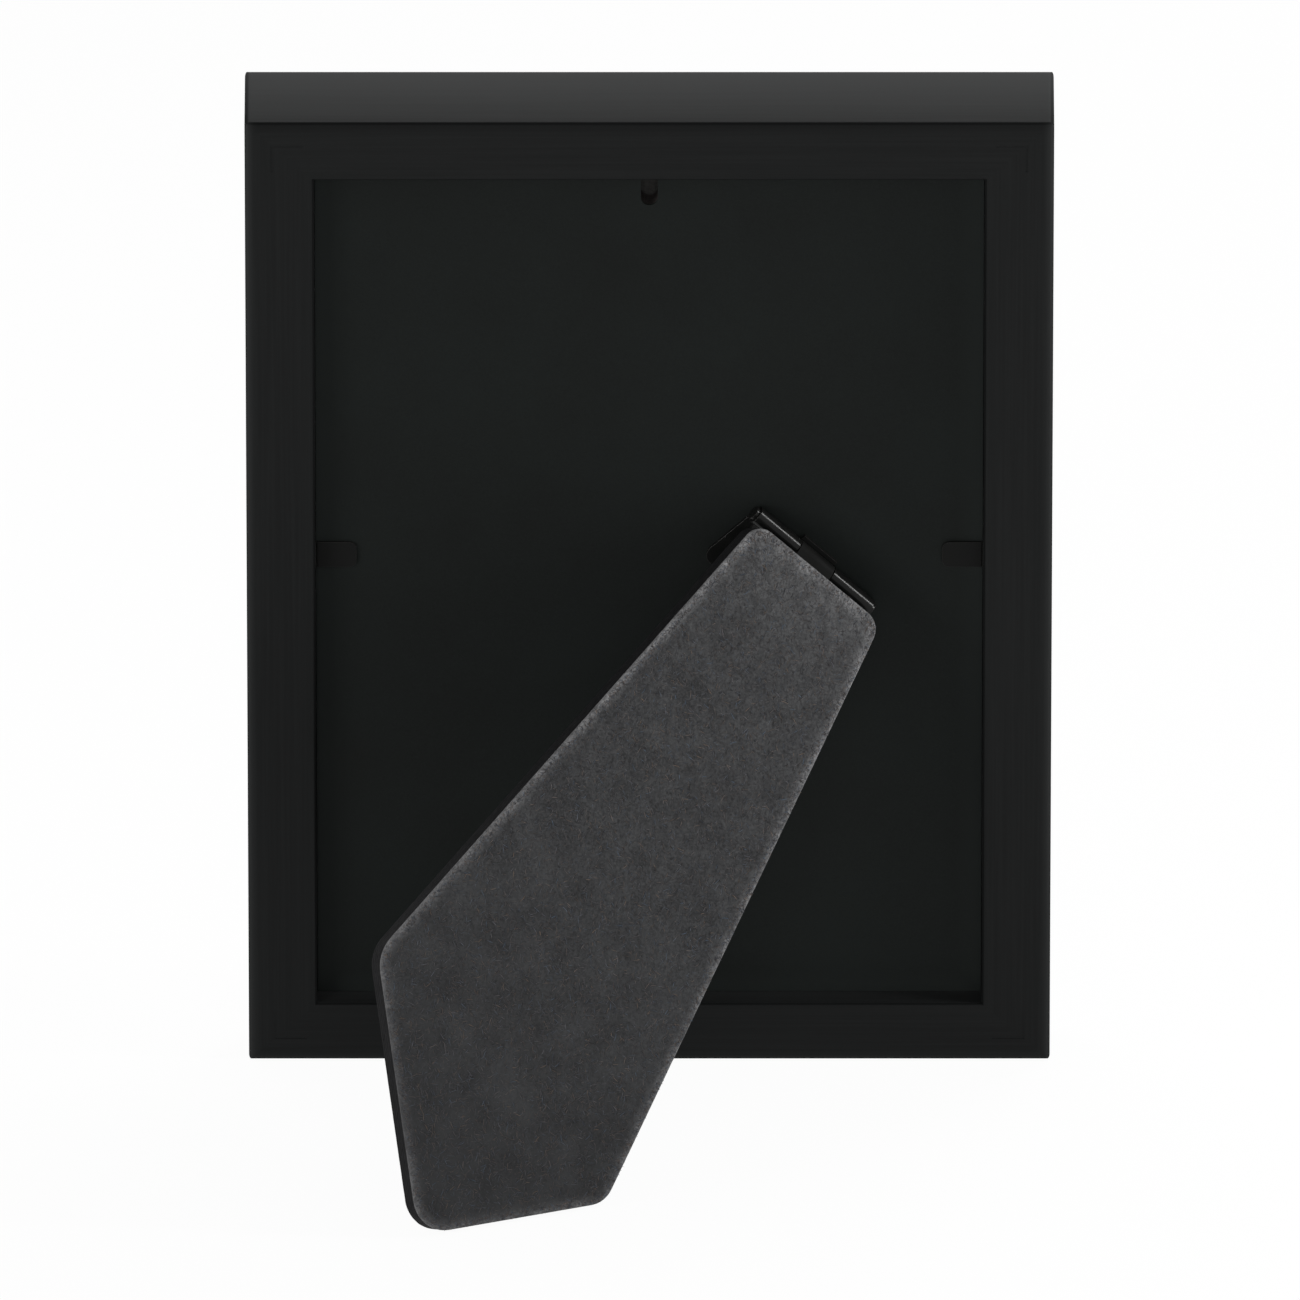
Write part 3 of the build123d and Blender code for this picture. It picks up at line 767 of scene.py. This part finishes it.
def buildFibres(corners, high):
    dice = np.random.default_rng(fibres["seed"])
    starts = []
    for group in fibres["groups"].values():
        spread = dice.uniform(corners.min(0), corners.max(0), (3 * group["count"], 2))
        heading = dice.uniform(0, 2 * math.pi, len(spread))
        ends = spread + np.column_stack((np.cos(heading), np.sin(heading))) * group["long"][1]
        within = np.minimum(insideBy(corners, spread), insideBy(corners, ends)) > fibres["clear"]
        kept = list(zip(spread[within], heading[within]))[:group["count"]]
        starts += [(spot, turn, group) for spot, turn in kept]
    rim, inward = evenRim(corners, fibres["edgeStep"])
    for spot in dice.integers(len(rim), size=fibres["edge"]["count"]):
        into = inward[spot]
        outward = math.atan2(-into[1], -into[0]) + dice.uniform(-fibres["edgeSpread"], fibres["edgeSpread"])
        starts.append((rim[spot] + into * dice.uniform(*fibres["edgeIn"]) * mm, outward, fibres["edge"]))
    verts, faces = [], []
    for (x, y), heading, group in starts:
        ahead = np.array((math.cos(heading), math.sin(heading))) * dice.uniform(*group["long"])
        bend = np.array((-ahead[1], ahead[0])) * dice.uniform(-fibres["bend"], fibres["bend"])
        lift = dice.uniform(*fibres["lift"])
        thick = dice.uniform(*group["thick"])
        path = []
        for t in (0.0, 0.33, 0.67, 1.0):
            px, py = (x, y) + ahead * t + bend * t * t
            path.append(onLeg(px, py, high + tuftHeight(px, py) + lift * (0.3 + 2.8 * t * (1 - t))))
        if min(point.z for point in path) > 2 * thick:  # none reaches below the table
            addFibre(verts, faces, path, thick)
    return legPiece("flockFibres", verts, faces, fibreMaterial(), "flocked_felt")


flockRim, flockHigh = buildFlock()
buildFibres(flockRim, flockHigh)
print("leg flocked")

# Studio: pale floor, white surroundings and soft light from all sides, most of it from behind the frame
studio = {
    "floorSize": 5.0,
    "floor": "#eeeeee",
    "whiteShare": 0.96,  # of plain white in what the camera sees of the floor
    "surround": 0.31,
    "softboxes": {
        "cameraFill": {"at": (0, 1.0, 0.42), "aim": (0, 0, 0.08), "size": (0.5, 0.5), "watts": 1.95},
        "leftFill": {"at": (0.75, 0.55, 0.15), "aim": (0, 0, 0.08), "size": (0.4, 0.4), "watts": 3.9},
        "stripRight": {"at": (-0.3, 0.06, 0.2), "aim": (-0.02, 0, 0.09), "size": (0.035, 0.14),
                       "watts": 0.55},
        "overTheTop": {"at": (0.05, -0.22, 0.56), "aim": (0, 0.02, 0.12), "size": (0.6, 0.45), "watts": 1.4},
        "frontFill": {"at": (-0.45, -0.7, 0.45), "aim": (0, 0, 0.08), "size": (0.5, 0.5), "watts": 3.0},
    },
}
# Camera: straight from behind and a little above, far off so that upright lines stay parallel
camera = {
    "elevation": 18.145,
    "aim": Vector((-0.10 * mm, 0, 79.05 * mm)),
    "span": 201.24 * mm,  # width of the view at the aim
    "lens": 1500.0,
    "sensor": 36.0,
    "sees": 50.0,  # metres
}


def whiteForViewers(tree):  # 1 for rays that show the surroundings, straight or in gloss and glass
    path = addNode(tree, "LightPath")
    shown = addNode(tree, "Math", {0: path.outputs["Is Camera Ray"], 1: path.outputs["Is Glossy Ray"]},
                    operation="MAXIMUM")
    return addNode(tree, "Math", {0: shown.outputs[0], 1: path.outputs["Is Transmission Ray"]},
                   operation="MAXIMUM").outputs[0]


def buildStudio():
    size = studio["floorSize"] / 2
    mesh = bpy.data.meshes.new("studioFloor")
    corners = [(-size, -size, 0), (size, -size, 0), (size, size, 0), (-size, size, 0)]
    mesh.from_pydata(corners, [], [(0, 1, 2, 3)])
    floor = bpy.data.objects.new("studioFloor", mesh)
    bpy.context.scene.collection.objects.link(floor)
    material, tree, shader = startMaterial("paleStudioFloor")
    plug(tree, shader, {"Base Color": linear(studio["floor"]), "Roughness": 0.9, "Specular IOR Level": 0.0})
    white = addNode(tree, "Emission", {"Color": (1, 1, 1, 1), "Strength": 1.0})
    share = addNode(tree, "Math", {0: whiteForViewers(tree), 1: studio["whiteShare"]}, operation="MULTIPLY")
    mixed = addNode(tree, "MixShader", {0: share.outputs[0], 1: shader.outputs[0], 2: white.outputs[0]})
    plug(tree, tree.nodes["Material Output"], {"Surface": mixed.outputs[0]})
    mesh.materials.append(material)

    world = bpy.data.worlds.new("studioSurround")
    bpy.context.scene.world = world
    world.use_nodes = True
    tree = world.node_tree
    level = addNode(tree, "MapRange", {"Value": whiteForViewers(tree), "To Min": studio["surround"],
                                       "To Max": 1.0})
    plug(tree, tree.nodes["Background"], {"Color": (1, 1, 1, 1), "Strength": level.outputs[0]})

    for name, box in studio["softboxes"].items():
        lamp = bpy.data.lights.new(name, "AREA")
        lamp.shape = "RECTANGLE"
        lamp.size, lamp.size_y = box["size"]
        lamp.energy = box["watts"]
        holder = bpy.data.objects.new(name, lamp)
        bpy.context.scene.collection.objects.link(holder)
        holder.location = box["at"]
        holder.rotation_euler = (Vector(box["aim"]) - holder.location).to_track_quat("-Z", "Y").to_euler()
        holder.visible_camera = False


def placeCamera():
    data = bpy.data.cameras.new("behindCamera")
    data.lens = camera["lens"]
    data.sensor_width = camera["sensor"]
    data.clip_end = camera["sees"]
    holder = bpy.data.objects.new("behindCamera", data)
    bpy.context.scene.collection.objects.link(holder)
    tilt = math.radians(camera["elevation"])
    away = Vector((0, math.cos(tilt), math.sin(tilt)))
    holder.location = camera["aim"] + away * camera["span"] * camera["lens"] / camera["sensor"]
    holder.rotation_euler = (-away).to_track_quat("-Z", "Y").to_euler()
    bpy.context.scene.camera = holder


buildStudio()
placeCamera()
bpy.context.scene.view_settings.view_transform = "Standard"
print("studio and camera placed")
